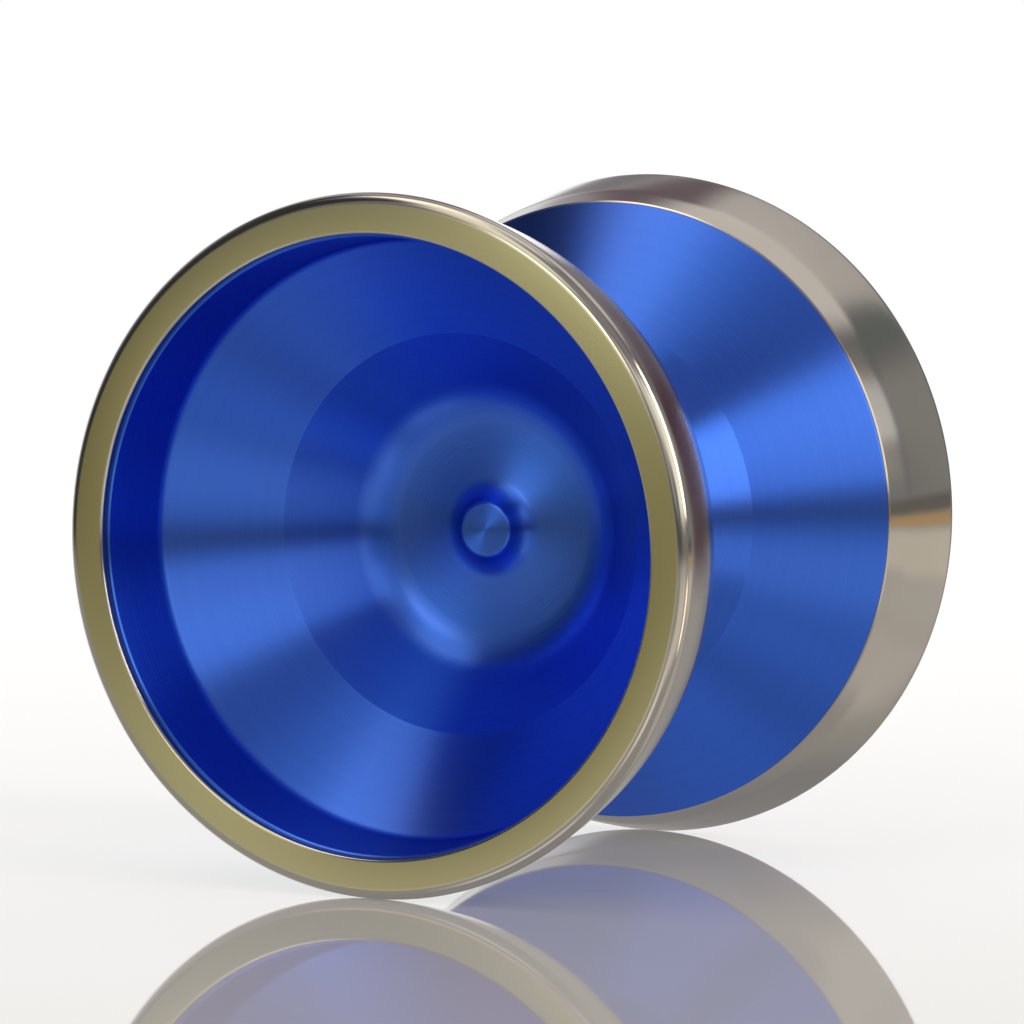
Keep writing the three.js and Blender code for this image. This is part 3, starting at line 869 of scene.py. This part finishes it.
def panel_mask(nodes, toward, azimuth, elevation, half_width, half_height, softness):
    """1 inside a rectangle seen in one direction, 0 outside it, with soft edges."""
    centre = direction(azimuth, elevation)
    right = direction(azimuth + 90, 0)
    up = right.cross(-centre)
    mask = nodes.smooth(nodes.dot(toward, centre), 0.0, PANEL_FADE)
    for axis, half in ((right, half_width), (up, half_height)):
        offset = nodes.math("ABSOLUTE", nodes.dot(toward, axis))
        inner = math.sin(math.radians(max(0.0, half - softness)))
        outer = math.sin(math.radians(half + softness))
        mask = nodes.math("MULTIPLY", mask, nodes.smooth(offset, inner, outer, 1.0, 0.0))
    return mask


def studio():
    """A world of soft panels for the metal to reflect, plain white where the camera sees it."""
    world = bpy.data.worlds.new("studio")
    world.use_nodes = True
    world.node_tree.nodes.clear()
    nodes = Nodes(world.node_tree)
    toward = nodes.make("ShaderNodeTexCoord").outputs["Generated"]
    height = nodes.dot(toward, (0, 0, 1))
    colour = nodes.mix(nodes.smooth(height, -ROOM_BLEND, ROOM_BLEND), LOWER_ROOM, UPPER_ROOM)
    below = nodes.smooth(height, NADIR_WHOLE, NADIR_END, 1.0, 0.0)
    colour = nodes.mix(below, colour, NADIR)
    off_horizon = nodes.math("ABSOLUTE", nodes.math("ADD", height, HORIZON_SINK))
    near_horizon = nodes.smooth(off_horizon, HORIZON_WHOLE, HORIZON_END, 1.0, 0.0)
    colour = nodes.mix(near_horizon, colour, HORIZON_BAND)
    for _, azimuth, elevation, half_width, half_height, softness, light in PANELS:
        mask = panel_mask(nodes, toward, azimuth, elevation, half_width, half_height, softness)
        colour = nodes.mix(mask, colour, (*light, 1))
    seen = nodes.make("ShaderNodeLightPath").outputs["Is Camera Ray"]
    colour = nodes.mix(seen, colour, BACKGROUND)
    background = nodes.make("ShaderNodeBackground", {"Color": colour, "Strength": 1.0})
    output = nodes.make("ShaderNodeOutputWorld")
    world.node_tree.links.new(background.outputs[0], output.inputs["Surface"])
    bpy.context.scene.world = world


def floor_sheet():
    """A white glossy floor that mirrors the yo-yo faintly.

    The metal doesn't reflect it: the studio's lower panels stand for it there.
    """
    work = bmesh.new()
    bmesh.ops.create_grid(work, x_segments=1, y_segments=1, size=FLOOR_HALF_SIZE)
    bmesh.ops.translate(work, verts=work.verts, vec=(0, 0, FLOOR_HEIGHT))
    mesh = finished_mesh("floor", work)
    material, nodes, shader = new_material("white_floor")
    position = nodes.object_position()
    cloud = nodes.noise_3d(position, scale=6.0)
    colour = nodes.mix(cloud, (0.47, 0.475, 0.485, 1), (0.5, 0.505, 0.515, 1))
    nodes.feed(shader.inputs["Base Color"], colour)
    shader.inputs["Roughness"].default_value = 0.03
    shader.inputs["Emission Color"].default_value = (0.9, 0.95, 1.0, 1)
    shader.inputs["Emission Strength"].default_value = 0.07
    mesh.materials.append(material)
    floor = bpy.data.objects.new("floor", mesh)
    bpy.context.scene.collection.objects.link(floor)
    floor.visible_glossy = False


def camera():
    """The photograph's view: a long lens, a little above the table."""
    view = direction(VIEW_AZIMUTH, VIEW_ELEVATION)
    data = bpy.data.cameras.new("camera")
    data.lens = LENS_MM
    data.shift_x = VIEW_SHIFT[0]
    data.shift_y = VIEW_SHIFT[1]
    data.clip_start = CLIP_START
    data.clip_end = CLIP_END
    eye = bpy.data.objects.new("camera", data)
    eye.location = view * VIEW_DISTANCE_IN_RADII * RIM_RADIUS * MM
    eye.rotation_euler = view.to_track_quat("Z", "Y").to_euler()
    bpy.context.scene.collection.objects.link(eye)
    bpy.context.scene.camera = eye


studio()
floor_sheet()
camera()
bpy.context.scene.view_settings.view_transform = "Standard"
